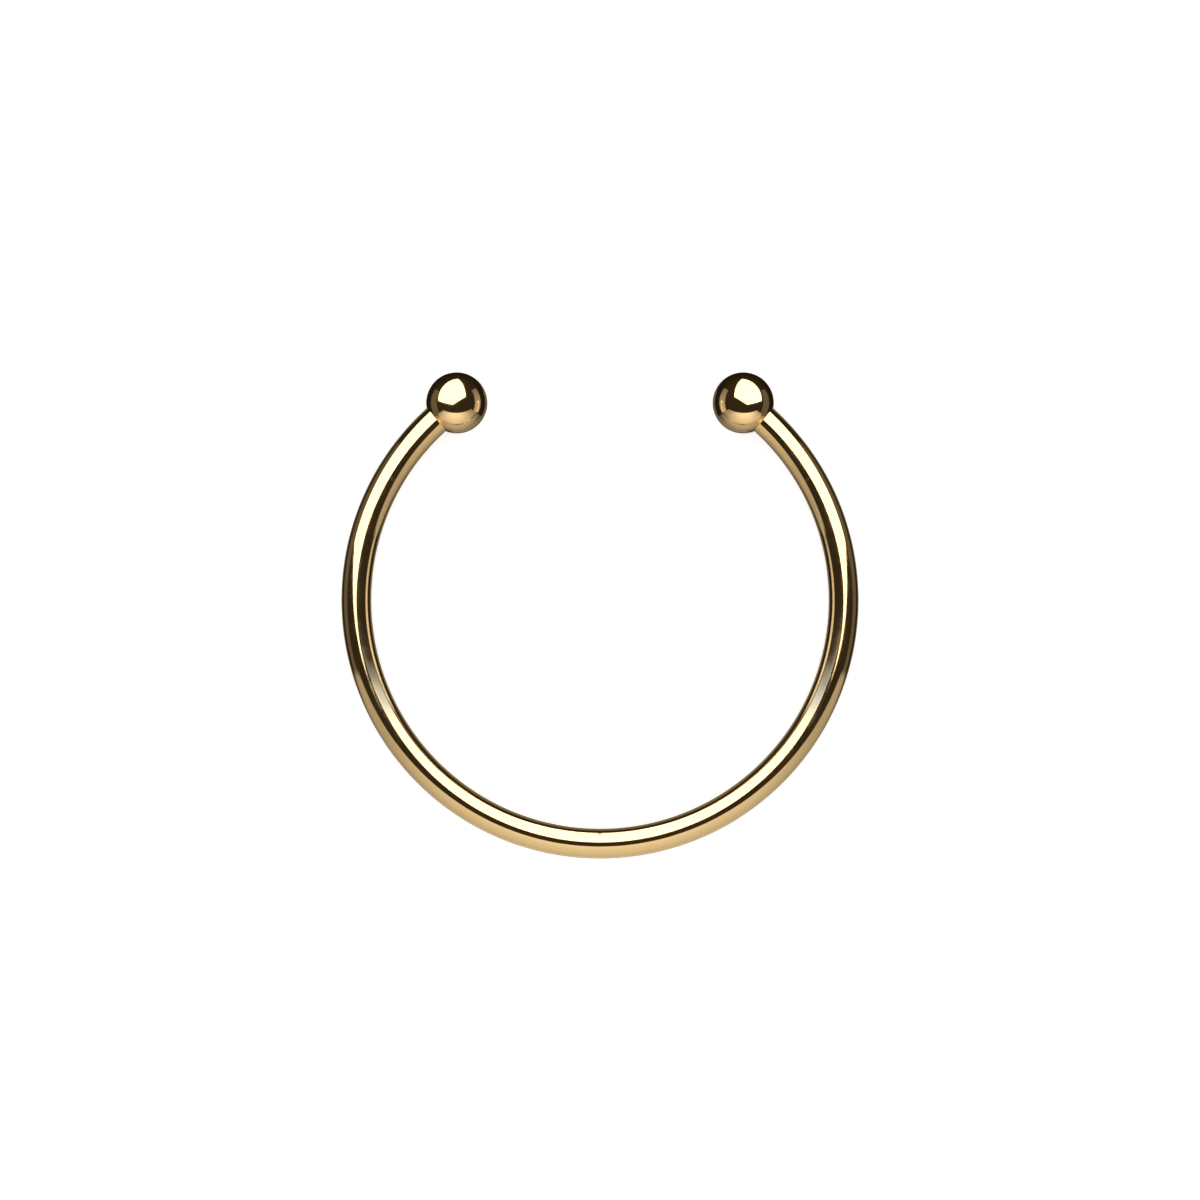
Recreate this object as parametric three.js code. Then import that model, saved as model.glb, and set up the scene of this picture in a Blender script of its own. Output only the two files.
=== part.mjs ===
// A ball-end cuff bracelet: one round wire bent into an open circle, with a drilled ball fixed on each end.
// Millimetres, +Z up. It lies as it rests by itself, on its two balls and on the back of the wire.
// +Y points to the opening that the wrist goes in by, and +X from the left ball to the right one.
// The origin is the middle of the underside of the bracelet's box.
import * as THREE from "three";

// Driving dimensions.
const WIRE_DIAMETER = 3.6;
const HOOP_DIAMETER = 59; // across the wire's centre line
const OPENING_DEGREES = 72; // from ball centre to ball centre, seen from the middle of the hoop
const BALL_DIAMETER = 7.4;

// The blind hole in each ball, which takes the end of the wire.
const SOCKET_CLEARANCE = 0.1; // between the wire and the wall of the hole
const SOCKET_END_GAP = 0.3; // between the wire's cut end and the bottom of the hole

// Fineness of the facets.
const WIRE_SIDES = 24;
const WIRE_STEPS = 72;
const BALL_SIDES = 36;
const BALL_ARC_STEPS = 18;

const POLISHED_GOLD = { color: 0xd8ab63, metalness: 1, roughness: 0.08 };

const wireRadius = WIRE_DIAMETER / 2;
const hoopRadius = HOOP_DIAMETER / 2;
const ballRadius = BALL_DIAMETER / 2;
const socketRadius = wireRadius + SOCKET_CLEARANCE;
const mouthDistance = Math.sqrt(ballRadius ** 2 - socketRadius ** 2); // of the hole's mouth from the ball's centre
const halfOpening = THREE.MathUtils.degToRad(OPENING_DEGREES / 2);

// The angle that a chord of the hoop's centre line takes up, seen from the middle of the hoop.
function angleOfChord(chord) {
  return 2 * Math.asin(chord / (2 * hoopRadius));
}

// A point of the hoop's centre line. The angle is measured from the middle of the opening, and is positive to +X.
function pointOnHoop(angle) {
  return new THREE.Vector3(hoopRadius * Math.sin(angle), hoopRadius * Math.cos(angle), 0);
}

// The wire's centre line, from inside one ball, round the back of the wrist, to inside the other ball.
class WireLine extends THREE.Curve {
  getPoint(t, target = new THREE.Vector3()) {
    const cutEnd = halfOpening + angleOfChord(SOCKET_END_GAP);
    return target.copy(pointOnHoop(THREE.MathUtils.lerp(cutEnd, 2 * Math.PI - cutEnd, t)));
  }
}

// The bent wire, of round section, with its ends cut square.
function makeHoop() {
  const section = new THREE.Shape().absarc(0, 0, wireRadius, 0, 2 * Math.PI, false);
  const geometry = new THREE.ExtrudeGeometry(section, {
    steps: WIRE_STEPS,
    curveSegments: WIRE_SIDES / 2,
    extrudePath: new WireLine(),
  });
  return namedMesh("hoop", geometry);
}

// A ball about its own centre, turned about Y, with its hole open towards -Y and ending at its centre.
function ballGeometry() {
  const profile = new THREE.Path()
    .moveTo(0, 0)
    .lineTo(socketRadius, 0)
    .lineTo(socketRadius, -mouthDistance)
    .absarc(0, 0, ballRadius, -Math.atan2(mouthDistance, socketRadius), Math.PI / 2, false);
  return new THREE.LatheGeometry(profile.getPoints(BALL_ARC_STEPS / 2), BALL_SIDES);
}

// A ball on the end of the wire at +X (side 1) or -X (side -1). Its hole lies along the stretch of wire inside it.
function makeBallEnd(name, side) {
  const ball = namedMesh(name, ballGeometry());
  const centre = pointOnHoop(side * halfOpening);
  const mouth = pointOnHoop(side * (halfOpening + angleOfChord(mouthDistance)));
  const outwards = centre.clone().sub(mouth).normalize();
  ball.position.copy(centre);
  ball.quaternion.setFromUnitVectors(new THREE.Vector3(0, 1, 0), outwards);
  return ball;
}

function namedMesh(name, geometry) {
  const mesh = new THREE.Mesh(geometry, new THREE.MeshStandardMaterial(POLISHED_GOLD));
  mesh.name = name;
  return mesh;
}

// Lays the flat hoop down as it rests: the balls are thicker than the wire, so they lift the side that they are on.
function layDown(hoopGroup) {
  const ballReach = hoopRadius * Math.cos(halfOpening);
  const tilt = Math.asin((ballRadius - wireRadius) / (hoopRadius + ballReach));
  const back = -hoopRadius * Math.cos(tilt) - wireRadius;
  const front = ballReach * Math.cos(tilt) + ballRadius;
  hoopGroup.rotation.x = tilt;
  hoopGroup.position.set(0, -(back + front) / 2, hoopRadius * Math.sin(tilt) + wireRadius);
  return hoopGroup;
}

const hoopGroup = new THREE.Group();
hoopGroup.add(makeHoop(), makeBallEnd("ball_end_left", -1), makeBallEnd("ball_end_right", 1));

const bracelet = new THREE.Group();
bracelet.name = "cuff_bracelet";
bracelet.add(layDown(hoopGroup));

export default bracelet;
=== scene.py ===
"""Looks of a ball-end cuff bracelet: one round wire bent into an open hoop, with a ball on each end.

The bracelet lies on a pale floor as it rests by itself, and a camera looks straight down on its hoop.
Lengths are in metres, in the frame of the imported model, unless a name or a comment says millimetres.
"""

import logging
import math
from dataclasses import dataclass, replace
from enum import Enum
from itertools import accumulate

import bpy
from mathutils import Matrix, Vector


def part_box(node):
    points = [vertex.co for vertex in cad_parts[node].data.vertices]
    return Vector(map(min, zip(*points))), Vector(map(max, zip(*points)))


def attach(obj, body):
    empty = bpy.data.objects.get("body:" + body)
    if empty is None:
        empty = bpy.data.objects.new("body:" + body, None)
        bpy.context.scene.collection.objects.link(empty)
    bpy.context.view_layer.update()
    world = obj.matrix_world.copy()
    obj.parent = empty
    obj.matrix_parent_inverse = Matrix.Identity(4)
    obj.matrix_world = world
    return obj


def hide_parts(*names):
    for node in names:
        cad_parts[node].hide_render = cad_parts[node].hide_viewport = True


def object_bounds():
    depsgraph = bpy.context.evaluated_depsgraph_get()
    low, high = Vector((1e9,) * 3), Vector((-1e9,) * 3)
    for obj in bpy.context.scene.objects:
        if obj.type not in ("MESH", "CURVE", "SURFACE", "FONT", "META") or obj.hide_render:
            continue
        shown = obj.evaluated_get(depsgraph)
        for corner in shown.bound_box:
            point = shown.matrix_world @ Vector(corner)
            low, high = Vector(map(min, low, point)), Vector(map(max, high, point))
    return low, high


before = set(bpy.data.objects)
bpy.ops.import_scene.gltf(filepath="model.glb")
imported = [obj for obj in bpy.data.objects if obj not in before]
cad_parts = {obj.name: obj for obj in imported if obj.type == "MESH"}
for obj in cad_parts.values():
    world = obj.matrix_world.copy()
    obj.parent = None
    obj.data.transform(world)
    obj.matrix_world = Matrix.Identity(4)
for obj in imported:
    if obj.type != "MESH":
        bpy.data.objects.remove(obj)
cad_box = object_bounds()

logging.basicConfig(level=logging.INFO, format="%(message)s")
log = logging.getLogger("cuff_bracelet")

MM = 0.001
BODY = "root"
POLISH_MAP = "polish"  # the UV map in metres: X along the polishing marks, Y across them

Place = tuple[float, float, float]


# ----------------------------------------------------------------------------------------------------
# Helpers for nodes and colours
# ----------------------------------------------------------------------------------------------------


def linear(hex_colour: str) -> tuple[float, float, float, float]:
    """Turns an sRGB hex colour into the linear one that shaders take.

    Args:
        hex_colour: A # and six hex digits.

    Returns:
        Red, green and blue as linear light, and an alpha of 1.
    """
    shares = [int(hex_colour[i : i + 2], 16) / 255 for i in (1, 3, 5)]
    red, green, blue = (c / 12.92 if c <= 0.04045 else ((c + 0.055) / 1.055) ** 2.4 for c in shares)
    return red, green, blue, 1.0


def add_node(tree: bpy.types.NodeTree, kind: str, inputs: dict | None = None, links: dict | None = None,
             **settings: object) -> bpy.types.Node:
    """Adds a node to a tree, with its settings, its input values and the links into it.

    Args:
        tree: The node tree that the node goes into.
        kind: The node's type, such as ShaderNodeBump.
        inputs: A value for each input socket that has a fixed one, by the socket's name or number.
        links: The output socket that feeds each linked input socket, by that input's name or number.
        settings: The node's own properties, such as operation.

    Returns:
        The new node.
    """
    node = tree.nodes.new(kind)
    for name, value in settings.items():
        setattr(node, name, value)
    for socket, value in (inputs or {}).items():
        node.inputs[socket].default_value = value
    for socket, source in (links or {}).items():
        tree.links.new(source, node.inputs[socket])
    return node


def new_material(name: str) -> tuple[bpy.types.Material, bpy.types.NodeTree]:
    """Makes a material with an empty node tree.

    Args:
        name: The material's name.

    Returns:
        The material and its tree.
    """
    material = bpy.data.materials.new(name)
    material.use_nodes = True
    material.node_tree.nodes.clear()
    return material, material.node_tree


# ----------------------------------------------------------------------------------------------------
# Finishes
# ----------------------------------------------------------------------------------------------------


@dataclass(frozen=True)
class PolishedGoldPlate:
    """Yellow gold plated on brass, and mopped with rouge to a mirror.

    The eye sees hardly any colour of its own: the gold mirrors the room, and takes blue and some green
    out of it, so white turns to cream and grey to tan. What tells it from a perfect mirror is a faint
    haze in patches, the fine marks of the mop, and a slight waviness that the hand leaves.
    """

    name: str = "rouge_polished_gold_plate"
    gold: str = "#FEDB9E"
    thicker_gold: str = "#FCD696"  # where the plating bath has left a little more
    clear_roughness: float = 0.045  # mopped brass before it has been handled
    hazy_roughness: float = 0.095
    haze_begins: float = 0.35  # the value of the noise, which runs from 0 to 1, where the metal is clear
    haze_is_full: float = 0.65  # and the one where it is hazy
    patch_size: float = 3.0 * MM
    wave_size: float = 2.5 * MM
    wave_height: float = 0.004 * MM
    mark_length: float = 4.0 * MM
    mark_spacing: float = 0.12 * MM  # the real ones lie 0.01 to 0.02 mm apart, too fine to show
    mark_height: float = 0.0006 * MM
    mark_roughness: float = 0.02

    def material(self) -> bpy.types.Material:
        """Makes the material.

        Returns:
            The node material, which needs the polish map on the mesh.
        """
        material, tree = new_material(self.name)
        place = add_node(tree, "ShaderNodeTexCoord").outputs["Object"]
        polish = add_node(tree, "ShaderNodeUVMap", uv_map=POLISH_MAP).outputs["UV"]

        patches = add_node(tree, "ShaderNodeTexNoise", {"Scale": 1 / self.patch_size, "Detail": 3.0},
                           {"Vector": place}).outputs["Fac"]
        waves = add_node(tree, "ShaderNodeTexNoise", {"Scale": 1 / self.wave_size, "Detail": 0.0},
                         {"Vector": place}).outputs["Fac"]
        stretch = (1 / self.mark_length, 1 / self.mark_spacing, 0)
        mop = add_node(tree, "ShaderNodeVectorMath", {1: stretch}, {0: polish}, operation="MULTIPLY")
        marks = add_node(tree, "ShaderNodeTexNoise", {"Scale": 1.0, "Detail": 2.0},
                         {"Vector": mop.outputs[0]}).outputs["Fac"]

        colour = add_node(tree, "ShaderNodeMix", {6: linear(self.gold), 7: linear(self.thicker_gold)},
                          {0: patches}, data_type="RGBA")
        haze = add_node(tree, "ShaderNodeMapRange",
                        {"From Min": self.haze_begins, "From Max": self.haze_is_full,
                         "To Min": self.clear_roughness, "To Max": self.hazy_roughness},
                        {"Value": patches})
        roughness = add_node(tree, "ShaderNodeMath", {1: self.mark_roughness},
                             {0: marks, 2: haze.outputs[0]}, operation="MULTIPLY_ADD")
        wavy = add_node(tree, "ShaderNodeBump", {"Distance": self.wave_height}, {"Height": waves})
        marked = add_node(tree, "ShaderNodeBump", {"Distance": self.mark_height},
                          {"Height": marks, "Normal": wavy.outputs[0]})
        metal = add_node(tree, "ShaderNodeBsdfPrincipled", {"Metallic": 1.0},
                         {"Base Color": colour.outputs[2], "Roughness": roughness.outputs[0],
                          "Normal": marked.outputs[0]})
        add_node(tree, "ShaderNodeOutputMaterial", {}, {"Surface": metal.outputs[0]})
        return material


@dataclass(frozen=True)
class OpalAcrylic:
    """An opal acrylic sheet, blasted matt, that glows by itself, with a painted pool of light over its
    middle.

    The eye sees an even white with no edge or gloss, which turns a little grey in the distance where the
    painted pool of light fades. The painted glow lifts the shadows, so only the darkest part of a shadow
    shows on it.
    """

    name: str = "opal_acrylic"
    white: str = "#E6E6E6"
    roughness: float = 0.9
    grain_size: float = 0.5 * MM  # of the blasting, drawn ten times coarser than it is
    grain_height: float = 0.01 * MM
    glow: float = 0.18  # painted glow, even everywhere, which lifts the shadows
    painted_pool_glow: float = 0.4  # a painted pool of light on top of that, brightest over the object's origin
    # how far from the object's origin the painted pool of light falls to half its brightness
    painted_pool_size: float = 110 * MM

    def material(self) -> bpy.types.Material:
        """Makes the material.

        Returns:
            The node material of the floor, with the painted pool of light centred under the object's own
            origin.
        """
        material, tree = new_material(self.name)
        place = add_node(tree, "ShaderNodeTexCoord").outputs["Object"]
        # Painted light: emission brightest over the object's origin, falling off with the squared distance,
        # with the even painted glow added on top.
        away = add_node(tree, "ShaderNodeVectorMath", {}, {0: place, 1: place}, operation="DOT_PRODUCT")
        spread = add_node(tree, "ShaderNodeMath", {1: 1 / self.painted_pool_size**2, 2: 1.0},
                          {0: away.outputs["Value"]}, operation="MULTIPLY_ADD")
        painted_pool = add_node(tree, "ShaderNodeMath", {0: self.painted_pool_glow}, {1: spread.outputs[0]},
                        operation="DIVIDE")
        glow = add_node(tree, "ShaderNodeMath", {1: self.glow}, {0: painted_pool.outputs[0]}, operation="ADD")
        grain = add_node(tree, "ShaderNodeTexNoise", {"Scale": 1 / self.grain_size}, {"Vector": place})
        blasted = add_node(tree, "ShaderNodeBump", {"Distance": self.grain_height},
                           {"Height": grain.outputs["Fac"]})
        sheet = add_node(tree, "ShaderNodeBsdfPrincipled",
                         {"Base Color": linear(self.white), "Roughness": self.roughness,
                          "Specular IOR Level": 0.0, "Emission Color": (1, 1, 1, 1)},
                         {"Emission Strength": glow.outputs[0], "Normal": blasted.outputs[0]})
        add_node(tree, "ShaderNodeOutputMaterial", {}, {"Surface": sheet.outputs[0]})
        return material


@dataclass(frozen=True)
class GradedGel:
    """A clear polyester sheet dyed grey in a fan-shaped gradient, as lamps have it in front of them.

    The eye never sees it, only how softly a light begins behind it.
    """

    name: str = "graded_gel"
    dye: tuple[tuple[float, str], ...] = (  # what it lets through, from its dark edge to its clear one
        (0.0, "#000000"), (0.06, "#383C42"), (0.35, "#707E9E"), (0.93, "#ACC5F7"), (1.0, "#FFFFFF"))

    def material(self, dark: float, clear: float) -> bpy.types.Material:
        """Makes the material.

        Args:
            dark: Where the gradient begins, as a slope from the object's own Z axis, Y over X.
            clear: Where it ends.

        Returns:
            The node material of the sheet, which dims only the light that meets its back.
        """
        material, tree = new_material(self.name)
        place = add_node(tree, "ShaderNodeTexCoord").outputs["Object"]
        parts = add_node(tree, "ShaderNodeSeparateXYZ", {}, {0: place}).outputs
        out = add_node(tree, "ShaderNodeMath", {}, {0: parts["X"]}, operation="ABSOLUTE").outputs[0]
        slope = add_node(tree, "ShaderNodeMath", {}, {0: parts["Y"], 1: out}, operation="DIVIDE").outputs[0]
        fan = add_node(tree, "ShaderNodeMapRange", {"From Min": dark, "From Max": clear}, {"Value": slope})
        back = add_node(tree, "ShaderNodeNewGeometry").outputs["Backfacing"]
        share = add_node(tree, "ShaderNodeMath", {}, {0: fan.outputs[0], 1: back}, operation="MAXIMUM")
        ramp = add_node(tree, "ShaderNodeValToRGB", {}, {0: share.outputs[0]})
        stops = ramp.color_ramp.elements
        stops[0].color = linear(self.dye[0][1])
        stops[1].color = linear(self.dye[-1][1])
        for share, colour in self.dye[1:-1]:
            stops.new(share).color = linear(colour)
        sheet = add_node(tree, "ShaderNodeBsdfTransparent", {}, {0: ramp.outputs[0]})
        add_node(tree, "ShaderNodeOutputMaterial", {}, {"Surface": sheet.outputs[0]})
        return material


# ----------------------------------------------------------------------------------------------------
# The bracelet
# ----------------------------------------------------------------------------------------------------


class Side(Enum):
    """The two ends of the wire, seen from above with the opening at the top."""

    LEFT = -1
    RIGHT = 1


class Marks(Enum):
    """Which way the mop has run over a piece."""

    ALONG = "from ring to ring"
    AROUND = "around each ring"


@dataclass(frozen=True)
class CuffSizes:
    """The driving sizes that the pieces share, and where the hoop lies."""

    wire_radius: float = 1.8 * MM
    hoop_radius: float = 29.5 * MM  # of the wire's centre line
    ball_radius: float = 3.7 * MM
    half_opening: float = math.radians(36)
    back: float = cad_box[0][1]  # the lowest Y of the bracelet
    tolerance: float = 0.1 * MM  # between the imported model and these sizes

    @property
    def tilt(self) -> float:
        """How far the balls lift the hoop on their side, in radians."""
        ball_reach = self.hoop_radius * math.cos(self.half_opening)
        return math.asin((self.ball_radius - self.wire_radius) / (self.hoop_radius + ball_reach))

    @property
    def rest(self) -> Matrix:
        """Where the bracelet lies.

        Returns:
            From the hoop's own frame, flat about its centre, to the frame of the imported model.
        """
        y = self.back + self.wire_radius + self.hoop_radius * math.cos(self.tilt)
        z = self.wire_radius + self.hoop_radius * math.sin(self.tilt)
        return Matrix.Translation((0, y, z)) @ Matrix.Rotation(self.tilt, 4, "X")

    def on_hoop(self, angle: float) -> Vector:
        """A place on the wire's centre line, by its angle from the middle of the opening towards +X."""
        return Vector((math.sin(angle), math.cos(angle), 0)) * self.hoop_radius

    def check(self) -> None:
        """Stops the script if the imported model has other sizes.

        Raises:
            ValueError: A node isn't as wide as these sizes make it.
        """
        widths = {"hoop": 2 * (self.hoop_radius + self.wire_radius), "ball_end_left": 2 * self.ball_radius}
        for node, width in widths.items():
            low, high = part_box(node)
            if abs(high[0] - low[0] - width) > self.tolerance:
                raise ValueError(f"{node} is {(high[0] - low[0]) / MM:.2f} mm wide, not {width / MM:.2f} mm")


@dataclass
class Piece:
    """A polished piece of the bracelet, made of rings of points in the hoop's own frame."""

    sizes: CuffSizes
    finish: bpy.types.Material

    def skin(self, name: str, rings: list[list[Vector]], lengths: list[float], girth: float,
             marks: Marks) -> bpy.types.Object:
        """Joins closed rings of points into one closed skin, with its polish map.

        Args:
            name: The piece's name.
            rings: The rings. The first and the last are single points, and the others are equally long.
            lengths: How far along the surface each ring lies.
            girth: How long a full turn is on the polish map.
            marks: Which way the mop has run.

        Returns:
            The piece, dressed and in its place.
        """
        count = len(rings[1])
        starts = [0, *accumulate(len(ring) for ring in rings)]
        faces, map_places = [], []
        for i in range(len(rings) - 1):
            for j in range(count):
                corners = [(i, j), (i, j + 1), (i + 1, j + 1), (i + 1, j)]
                if len(rings[i]) == 1:
                    corners.pop(1)
                elif len(rings[i + 1]) == 1:
                    corners.pop(2)
                faces.append([starts[ring] + column % len(rings[ring]) for ring, column in corners])
                for ring, column in corners:
                    along, around = lengths[ring], girth * column / count
                    map_places.append((along, around) if marks is Marks.ALONG else (around, along))
        mesh = bpy.data.meshes.new(name)
        mesh.from_pydata([self.sizes.rest @ point for ring in rings for point in ring], [], faces)
        polish = mesh.uv_layers.new(name=POLISH_MAP)
        polish.data.foreach_set("uv", [value for place in map_places for value in place])
        mesh.shade_smooth()
        mesh.materials.append(self.finish)
        piece = bpy.data.objects.new(name, mesh)
        bpy.context.scene.collection.objects.link(piece)
        return piece

    def fit(self, piece: bpy.types.Object, node: str) -> bpy.types.Object:
        """Ties the piece to the bracelet's body and hides the node that it stands for.

        Args:
            piece: The finished piece.
            node: The node's name.

        Returns:
            The same piece.
        """
        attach(piece, BODY)
        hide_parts(node)
        return piece


@dataclass
class HoopWire(Piece):
    """The bent wire, with its ends cut square and chamfered inside the balls."""

    sides: int = 64
    steps: int = 360
    end_gap: float = 0.3 * MM  # from the ball's centre to the cut end
    chamfer: float = 0.15 * MM

    def build(self) -> bpy.types.Object:
        """Sweeps the wire's round section along the hoop.

        Returns:
            The wire.
        """
        s = self.sizes
        cut = s.half_opening + self.end_gap / s.hoop_radius
        whole = cut + self.chamfer / s.hoop_radius  # where the full section begins
        sweep = 2 * (math.pi - whole) / self.steps
        stations = [(cut, 0.0), (cut, s.wire_radius - self.chamfer)]
        stations += [(whole + sweep * i, s.wire_radius) for i in range(self.steps + 1)]
        stations += [(2 * math.pi - angle, radius) for angle, radius in reversed(stations[:2])]
        rings = [self.ring(angle, radius) for angle, radius in stations]
        lengths = [angle * s.hoop_radius for angle, _ in stations]
        wire = self.skin("cuff_wire", rings, lengths, 2 * math.pi * s.wire_radius, Marks.ALONG)
        return self.fit(wire, "hoop")

    def ring(self, angle: float, radius: float) -> list[Vector]:
        """Places the points of the section, from its underside round by its outer side.

        Args:
            angle: Where it lies along the hoop.
            radius: Its radius, or 0 for its centre only.

        Returns:
            The points.
        """
        centre = self.sizes.on_hoop(angle)
        if radius == 0:
            return [centre]
        outwards = centre.normalized()
        turns = [2 * math.pi * i / self.sides for i in range(self.sides)]
        return [centre + radius * (math.sin(t) * outwards - math.cos(t) * Vector((0, 0, 1))) for t in turns]


@dataclass
class BallEnd(Piece):
    """A ball, turned in the lathe, with a blind hole that takes the end of the wire."""

    side: Side = Side.LEFT
    sides: int = 128
    arc_steps: int = 72
    lip_steps: int = 6
    clearance: float = 0.02 * MM  # between the wire and the hole
    lip: float = 0.06 * MM  # radius of the rounded edge of the hole

    def build(self) -> bpy.types.Object:
        """Turns the ball's profile about the line of its hole.

        Returns:
            The ball.
        """
        s = self.sizes
        hole = s.wire_radius + self.clearance
        mouth_reach = math.sqrt(s.ball_radius**2 - hole**2)  # from the ball's centre to the hole's mouth
        mouth_angle = s.half_opening + 2 * math.asin(mouth_reach / (2 * s.hoop_radius))
        centre = s.on_hoop(self.side.value * s.half_opening)
        axis = (centre - s.on_hoop(self.side.value * mouth_angle)).normalized()
        down = Vector((0, 0, -1))
        across = axis.cross(down)
        turns = [2 * math.pi * i / self.sides for i in range(self.sides)]
        profile = self.profile(hole)
        rings = []
        for radius, along in profile:
            middle = centre + along * axis
            ring = [middle + radius * (math.cos(t) * down + math.sin(t) * across) for t in turns]
            rings.append(ring if radius else [middle])
        lengths = [0.0, *accumulate(math.dist(a, b) for a, b in zip(profile, profile[1:]))]
        name = self.side.name.lower()
        ball = self.skin(f"ball_{name}", rings, lengths, 2 * math.pi * s.ball_radius, Marks.AROUND)
        return self.fit(ball, f"ball_end_{name}")

    def profile(self, hole: float) -> list[tuple[float, float]]:
        """Draws half the ball's section, from the bottom of the hole round to the far pole.

        Args:
            hole: The hole's radius.

        Returns:
            The distance from the axis and the place along it, of each point.
        """
        ball = self.sizes.ball_radius
        lip_out = hole + self.lip
        lip_back = -math.sqrt((ball - self.lip) ** 2 - lip_out**2)
        edge = math.atan2(lip_back, lip_out)  # where the lip runs into the round of the ball
        turn = (edge + math.pi) / self.lip_steps
        sweep = (math.pi / 2 - edge) / self.arc_steps
        lip = [-math.pi + turn * i for i in range(self.lip_steps + 1)]
        arc = [edge + sweep * i for i in range(1, self.arc_steps)]
        return [(0.0, 0.0), (hole, 0.0),
                *((lip_out + self.lip * math.cos(t), lip_back + self.lip * math.sin(t)) for t in lip),
                *((ball * math.cos(t), ball * math.sin(t)) for t in arc), (0.0, ball)]


# ----------------------------------------------------------------------------------------------------
# The studio. Its places are in millimetres, in the hoop's own frame: X to the right, Y to the opening
# and Z up from the middle of the wire.
# ----------------------------------------------------------------------------------------------------


class Subject(Enum):
    """The piece that a panel is aimed at. The others are screened off from it."""

    WIRE = "cuff_wire"
    LEFT_BALL = "ball_left"
    RIGHT_BALL = "ball_right"

    def mirrored(self) -> "Subject":
        """The subject at the same place on the other side."""
        others = {Subject.LEFT_BALL: Subject.RIGHT_BALL, Subject.RIGHT_BALL: Subject.LEFT_BALL}
        return others.get(self, self)


@dataclass(frozen=True)
class Pool:
    """Where a panel is brightest, in shares of its width and height from its lower left corner."""

    across: float
    up: float
    reach_across: float
    reach_up: float
    rim: float  # the brightness beyond the reach, as a share of the panel's strength


@dataclass(frozen=True)
class Door:
    """A straight black edge across a panel. It leaves open what lies past the limit along its direction."""

    towards: Place
    limit: float
    blur: float

    def mirrored(self) -> "Door":
        """The same edge on the other side."""
        return replace(self, towards=(-self.towards[0], self.towards[1], self.towards[2]))


def side_doors(reach: float, blur: float) -> tuple[Door, Door]:
    """Makes two upright edges that leave open what lies between them.

    Args:
        reach: How far each stands from the bracelet's middle plane.
        blur: How wide the half-shade is.

    Returns:
        The left edge and the right one.
    """
    left = Door(towards=(1, 0, 0), limit=-reach, blur=blur)
    return left, left.mirrored()


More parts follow.
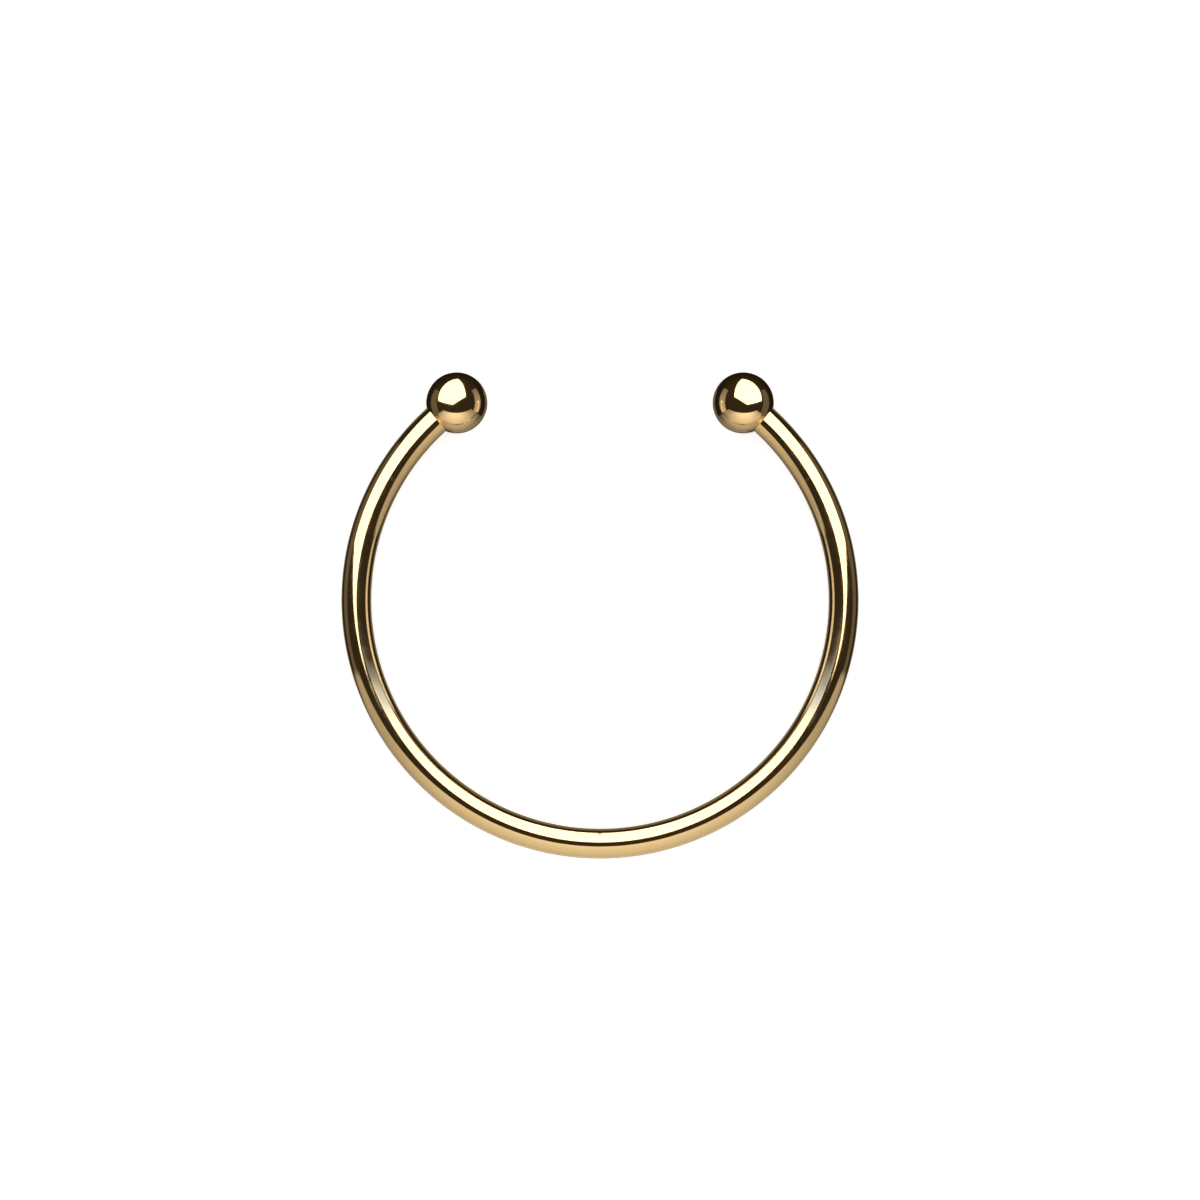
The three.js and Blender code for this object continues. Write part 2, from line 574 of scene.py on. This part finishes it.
@dataclass(frozen=True)
class Panel:
    """A flat, rectangular light that only one piece of the bracelet sees, and only from its front.

    Its corners are the ones that the bracelet sees at the lower left, the lower right and the upper left.
    """

    name: str
    subject: Subject
    corner: Place
    right: Place
    top: Place
    strength: float  # radiance at the brightest, where 1 shows as white on a white sheet
    pool: Pool | None = None
    doors: tuple[Door, ...] = ()
    gel: Side | None = None  # the side whose gel softens it

    def mirrored(self) -> "Panel":
        """Makes the same panel on the other side of the bracelet.

        Returns:
            The mirrored panel.
        """
        def flip(place: Place) -> Place:
            """The place mirrored in the bracelet's middle plane."""
            return -place[0], place[1], place[2]

        far = tuple(right + top - corner for corner, right, top in zip(self.corner, self.right, self.top))
        return replace(self, name=self.name + "_mirrored", subject=self.subject.mirrored(),
                       corner=flip(self.right), right=flip(self.corner), top=flip(far),
                       pool=self.pool and replace(self.pool, across=1 - self.pool.across),
                       doors=tuple(door.mirrored() for door in self.doors),
                       gel=self.gel and Side(-self.gel.value))

    def build(self, rest: Matrix, pieces: dict[str, bpy.types.Object],
              gels: dict[Side, bpy.types.Object]) -> bpy.types.Object:
        """Makes the light.

        Args:
            rest: From the hoop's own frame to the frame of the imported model.
            pieces: The pieces of the bracelet, by name.
            gels: The two gels, by the side that they stand on.

        Returns:
            The light object.
        """
        corner, right, top = (Vector(place) * MM for place in (self.corner, self.right, self.top))
        along, up = right - corner, top - corner
        data = bpy.data.lights.new(self.name, "AREA")
        data.shape = "RECTANGLE"
        data.size = along.length
        data.size_y = up.length
        data.normalize = False
        data.energy = self.strength * math.pi
        self.shade(data, right, along, up)
        light = bpy.data.objects.new(self.name, data)
        bpy.context.scene.collection.objects.link(light)
        x = -along.normalized()
        y = (up - up.project(x)).normalized()
        turn = Matrix((x, y, x.cross(y))).transposed().to_4x4()
        light.matrix_world = rest @ Matrix.Translation(corner + (along + up) / 2) @ turn
        light.visible_camera = False
        receivers = bpy.data.collections.new(self.name + "_lights")
        receivers.objects.link(pieces[self.subject.value])
        blockers = bpy.data.collections.new(self.name + "_is_blocked_by")
        for blocker in [*pieces.values(), *([gels[self.gel]] if self.gel else [])]:
            blockers.objects.link(blocker)
        light.light_linking.receiver_collection = receivers
        light.light_linking.blocker_collection = blockers
        return light

    def shade(self, data: bpy.types.AreaLight, start: Vector, along: Vector, up: Vector) -> None:
        """Gives the light its pool of brightness and its black edges.

        Args:
            data: The light.
            start: Its lower right corner, where its own coordinates begin.
            along: From its lower left corner to its lower right one.
            up: From its lower left corner to its upper left one.
        """
        if not self.pool and not self.doors:
            return
        data.use_nodes = True
        tree = data.node_tree
        place = add_node(tree, "ShaderNodeTexCoord").outputs["UV"]
        factors = []
        if self.pool:
            pool = self.pool
            stretch = (1 / pool.reach_across, 1 / pool.reach_up, 0)
            shift = ((pool.across - 1) / pool.reach_across, -pool.up / pool.reach_up, 0)
            offset = add_node(tree, "ShaderNodeVectorMath", {1: stretch, 2: shift}, {0: place},
                              operation="MULTIPLY_ADD")
            away = add_node(tree, "ShaderNodeVectorMath", {}, {0: offset.outputs[0]}, operation="LENGTH")
            factors.append(add_node(tree, "ShaderNodeMapRange", {"To Min": 1.0, "To Max": pool.rim},
                                    {"Value": away.outputs["Value"]}, interpolation_type="SMOOTHSTEP"))
        for door in self.doors:
            towards = Vector(door.towards)
            slope = (-towards.dot(along), towards.dot(up), 0)
            reach = add_node(tree, "ShaderNodeVectorMath", {1: slope}, {0: place}, operation="DOT_PRODUCT")
            edge = door.limit * MM - towards.dot(start)
            half_blur = door.blur * MM / 2
            factors.append(add_node(tree, "ShaderNodeMapRange",
                                    {"From Min": edge - half_blur, "From Max": edge + half_blur},
                                    {"Value": reach.outputs["Value"]}, interpolation_type="SMOOTHSTEP"))
        level = factors[0].outputs[0]
        for factor in factors[1:]:
            level = add_node(tree, "ShaderNodeMath", {}, {0: level, 1: factor.outputs[0]},
                             operation="MULTIPLY").outputs[0]
        tree.links.new(level, tree.nodes["Emission"].inputs["Strength"])


@dataclass(frozen=True)
class Post:
    """An upright line that panels stand around."""

    x: float
    y: float

    def panel(self, name: str, subject: Subject, bearing: float, distance: float, width: float,
              bottom: float, top: float, strength: float, pool: Pool | None = None) -> Panel:
        """Stands a panel upright, so that it faces the post.

        Args:
            name: The panel's name.
            subject: The piece that it is aimed at.
            bearing: Where it stands from the post, in degrees anticlockwise from +X.
            distance: How far it stands from the post.
            width: Its width.
            bottom: The height of its lower edge.
            top: The height of its upper edge.
            strength: Its radiance at the brightest.
            pool: Where it is brightest.

        Returns:
            The panel.
        """
        out = Vector((math.cos(math.radians(bearing)), math.sin(math.radians(bearing))))
        middle = Vector((self.x, self.y)) + out * distance
        left = middle + out.orthogonal() * width / 2
        right = middle - out.orthogonal() * width / 2
        return Panel(name, subject, corner=(*left, bottom), right=(*right, bottom), top=(*left, top),
                     strength=strength, pool=pool)


@dataclass(frozen=True)
class Span:
    """How far a rectangular panel reaches that stands or lies square to the hoop's own frame.

    Its sides are named as the bracelet sees them.
    """

    left: float
    right: float
    bottom: float
    top: float

    def wall(self, y: float) -> dict[str, Place]:
        """The corners of a panel that stands upright behind the bracelet's back and faces the opening."""
        return {"corner": (self.left, y, self.bottom), "right": (self.right, y, self.bottom),
                "top": (self.left, y, self.top)}

    def sheet(self, z: float) -> dict[str, Place]:
        """The corners of a panel that lies level under the bracelet and faces up."""
        return {"corner": (self.left, self.bottom, z), "right": (self.right, self.bottom, z),
                "top": (self.left, self.top, z)}


@dataclass(frozen=True)
class Gel:
    """A graded gel that stands inside the hoop and leans inwards at the top.

    It softens how the key light of its side begins for the wire on the other side.
    """

    side: Side
    profile: tuple[tuple[float, float], ...] = ((20.0, 5.0), (20.0, 130.0), (2.0, 200.0))  # out and up
    front: float = -1.25  # the slopes of its edges from the hoop's axis
    shaded: float = 0.26  # it is black up to this slope
    clear: float = 0.6  # and ends here

    def build(self, rest: Matrix) -> bpy.types.Object:
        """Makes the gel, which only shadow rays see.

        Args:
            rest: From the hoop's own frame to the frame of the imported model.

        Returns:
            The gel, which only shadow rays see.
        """
        slopes = (self.front, self.clear)[:: self.side.value]
        corners = [(self.side.value * out, out * slope, up) for out, up in self.profile for slope in slopes]
        mesh = bpy.data.meshes.new("gel_" + self.side.name.lower())
        mesh.from_pydata([Vector(corner) * MM for corner in corners], [], [(0, 2, 3, 1), (2, 4, 5, 3)])
        mesh.materials.append(GradedGel().material(self.shaded, self.clear))
        gel = bpy.data.objects.new(mesh.name, mesh)
        bpy.context.scene.collection.objects.link(gel)
        gel.matrix_world = rest
        for ray in ("camera", "diffuse", "glossy", "transmission", "volume_scatter"):
            setattr(gel, "visible_" + ray, False)
        return gel


@dataclass
class Studio:
    """Floor, surroundings, panels and camera."""

    sizes: CuffSizes
    floor_width: float = 3.0
    sky: float = 0.86
    dim_room: str = "#302B24"  # what the metal mirrors between the panels
    dark_floor: str = "#201B14"  # and what it mirrors below them
    floor_rise: float = -0.7  # up to this rise of the view, as a sine, it mirrors the dark floor only
    room_rise: float = 0.1  # and from this one the dim room only
    key_strength: float = 2.5  # of the key lights, far enough past white that the gold burns out to cream
    ball_mouth: float = math.radians(6)  # along the hoop, from a ball's centre to where its hole opens
    glow_turn: float = math.radians(18)  # and from there to the panel that glows over the joint
    lens: float = 100.0
    sensor: float = 36.0
    nearest: float = 0.01  # the camera sees from this distance
    farthest: float = 10.0  # to this one
    view_width: float = 145.3 * MM  # of what the camera sees at the height of the wire

    def build(self, pieces: dict[str, bpy.types.Object]) -> None:
        """Sets the stage around the finished pieces.

        Args:
            pieces: The pieces of the bracelet, by name.
        """
        self.lay_floor()
        self.make_surroundings()
        gels = {side: Gel(side).build(self.sizes.rest) for side in Side}
        for panel in self.panels():
            panel.build(self.sizes.rest, pieces, gels)
        self.hang_camera()
        bpy.context.scene.view_settings.view_transform = "Standard"

    def lay_floor(self) -> None:
        """Lays the floor, which the metal doesn't mirror."""
        half = self.floor_width / 2
        mesh = bpy.data.meshes.new("floor")
        mesh.from_pydata([(-half, -half, 0), (half, -half, 0), (half, half, 0), (-half, half, 0)], [],
                         [(0, 1, 2, 3)])
        mesh.materials.append(OpalAcrylic().material())
        floor = bpy.data.objects.new("floor", mesh)
        bpy.context.scene.collection.objects.link(floor)
        floor.visible_glossy = False

    def make_surroundings(self) -> None:
        """Puts an even, pale sky over the floor, and a dim room around the metal."""
        world = bpy.data.worlds.new("studio")
        bpy.context.scene.world = world
        world.use_nodes = True
        world.cycles.sampling_method = "NONE"
        tree = world.node_tree
        tree.nodes.clear()
        sky = add_node(tree, "ShaderNodeBackground", {"Color": (1, 1, 1, 1), "Strength": self.sky})
        direction = add_node(tree, "ShaderNodeTexCoord").outputs["Generated"]
        height = add_node(tree, "ShaderNodeSeparateXYZ", {}, {0: direction}).outputs["Z"]
        rise = add_node(tree, "ShaderNodeMapRange",
                        {"From Min": self.floor_rise, "From Max": self.room_rise}, {"Value": height})
        walls = add_node(tree, "ShaderNodeMix", {6: linear(self.dark_floor), 7: linear(self.dim_room)},
                         {0: rise.outputs[0]}, data_type="RGBA")
        room = add_node(tree, "ShaderNodeBackground", {}, {"Color": walls.outputs[2]})
        path = add_node(tree, "ShaderNodeLightPath")
        both = add_node(tree, "ShaderNodeMixShader", {},
                        {0: path.outputs["Is Glossy Ray"], 1: sky.outputs[0], 2: room.outputs[0]})
        add_node(tree, "ShaderNodeOutputWorld", {}, {"Surface": both.outputs[0]})

    def panels(self) -> list[Panel]:
        """Lists the studio's lights.

        Returns:
            The panels of the middle, those of the left side and the same ones mirrored.
        """
        return [*self.middle_panels(), *(one for panel in self.wire_panels() + self.ball_panels()
                                         for one in (panel, panel.mirrored()))]

    def middle_panels(self) -> list[Panel]:
        """Lists the panels that stand across the bracelet's middle plane.

        Returns:
            The bounce behind the wire's back, brightest in its middle, and the dim sheet under the wire.
        """
        bounce = Span(left=240, right=-240, bottom=-105, top=105)
        under = Span(left=-430, right=430, bottom=-590, top=810)
        bounce_fade = Door(towards=(0, 0, 1), limit=-100, blur=240)
        under_fade = Door(towards=(0, -1, 0), limit=-560, blur=500)
        return [
            Panel("wire_bounce", Subject.WIRE, **bounce.wall(y=-65), strength=0.9,
                  pool=Pool(across=0.5, up=1.0, reach_across=0.25, reach_up=1.0, rim=0.45),
                  doors=(*side_doors(reach=210, blur=40), bounce_fade)),
            Panel("wire_under", Subject.WIRE, **under.sheet(z=-400), strength=0.18,
                  doors=(*side_doors(reach=390, blur=90), under_fade)),
        ]

    def wire_panels(self) -> list[Panel]:
        """Lists the panels on the left that light the wire.

        Returns:
            Half the key, a low strip inside the hoop, one outside it, and a glow over the joint.
        """
        s = self.sizes
        key_edges = (Door(towards=(-1, 0, 0), limit=0, blur=0.1),
                     Door(towards=(-1, 2, 0), limit=20, blur=10),
                     Door(towards=(0, 0, 1), limit=-15, blur=5))
        axis = Post(0, 0)
        mouth = s.on_hoop(-s.half_opening - self.ball_mouth) / MM
        joint = Post(mouth.x, mouth.y)
        # The glow stands in a plane through the hoop's axis. A smooth wire mirrors the camera's own rays
        # within such planes, so it shows mostly in the wire as the ball mirrors it. The haze and the marks
        # throw a few rays at it, which makes a faint tick across the wire where it stands.
        glow_bearing = 180 + math.degrees(s.half_opening + self.ball_mouth + self.glow_turn)
        glow_distance = s.hoop_radius / MM * math.sin(self.glow_turn)
        return [
            Panel("wire_key", Subject.WIRE, corner=(0, 260, -35), right=(150, 195, 85), top=(-185, 45, 70),
                  strength=self.key_strength, doors=key_edges, gel=Side.LEFT),
            axis.panel("wire_streak", Subject.WIRE, bearing=5, distance=12, width=10, bottom=-6.5, top=9,
                       strength=0.7,
                       pool=Pool(across=0.25, up=0.5, reach_across=0.9, reach_up=5.0, rim=0.5)),
            axis.panel("wire_rear", Subject.WIRE, bearing=170, distance=45, width=48, bottom=-4, top=6.5,
                       strength=0.09),
            joint.panel("wire_glow", Subject.WIRE, glow_bearing, glow_distance, width=9, bottom=1, top=8,
                        strength=0.6,
                        pool=Pool(across=0.5, up=0.5, reach_across=0.5, reach_up=0.5, rim=0.0)),
        ]

    def ball_panels(self) -> list[Panel]:
        """Lists the panels that light the left ball.

        Returns:
            Its key, the bounces over and under its horizon, a dim sheet under it, and a strip on each side.
        """
        ball = self.sizes.on_hoop(-self.sizes.half_opening) / MM
        middle = Post(ball.x, ball.y)
        bounce = Span(left=930, right=-750, bottom=0, top=500)
        below = Span(left=420, right=-320, bottom=-480, top=0)
        under = Span(left=-60, right=250, bottom=-280, top=140)
        return [
            Panel("ball_key", Subject.LEFT_BALL, corner=(-10, 200, -25), right=(150, 120, 220),
                  top=(-250, 45, 80), strength=self.key_strength),
            Panel("ball_bounce", Subject.LEFT_BALL, **bounce.wall(y=-420), strength=1.1,
                  pool=Pool(across=0.6, up=0.95, reach_across=0.5, reach_up=1.75, rim=0.3)),
            Panel("ball_below", Subject.LEFT_BALL, **below.wall(y=-200), strength=0.5,
                  pool=Pool(across=0.6, up=1.0, reach_across=0.8, reach_up=0.7, rim=0.2)),
            Panel("ball_under", Subject.LEFT_BALL, **under.sheet(z=-300), strength=0.13),
            middle.panel("ball_streak", Subject.LEFT_BALL, bearing=7, distance=30, width=37, bottom=-4.5,
                         top=10, strength=0.5,
                         pool=Pool(across=1.0, up=0.5, reach_across=1.0, reach_up=5.0, rim=0.4)),
            middle.panel("ball_rear", Subject.LEFT_BALL, bearing=190, distance=30, width=57, bottom=-9.5,
                         top=8, strength=0.1),
        ]

    def hang_camera(self) -> None:
        """Hangs the camera over the middle of the hoop, square to it."""
        data = bpy.data.cameras.new("camera")
        data.lens = self.lens
        data.sensor_width = self.sensor
        data.clip_start = self.nearest
        data.clip_end = self.farthest
        camera = bpy.data.objects.new("camera", data)
        bpy.context.scene.collection.objects.link(camera)
        distance = self.view_width * self.lens / self.sensor
        camera.matrix_world = self.sizes.rest @ Matrix.Translation((0, 0, distance))
        bpy.context.scene.camera = camera


def main() -> None:
    """Builds the bracelet and the studio around it."""
    sizes = CuffSizes()
    sizes.check()
    gold = PolishedGoldPlate().material()
    makers = [HoopWire(sizes, gold), *(BallEnd(sizes, gold, side) for side in Side)]
    pieces = [maker.build() for maker in makers]
    for piece in pieces:
        log.info("%s: %d faces, finished in %s", piece.name, len(piece.data.polygons), gold.name)
    Studio(sizes).build({piece.name: piece for piece in pieces})


if __name__ == "__main__":
    main()
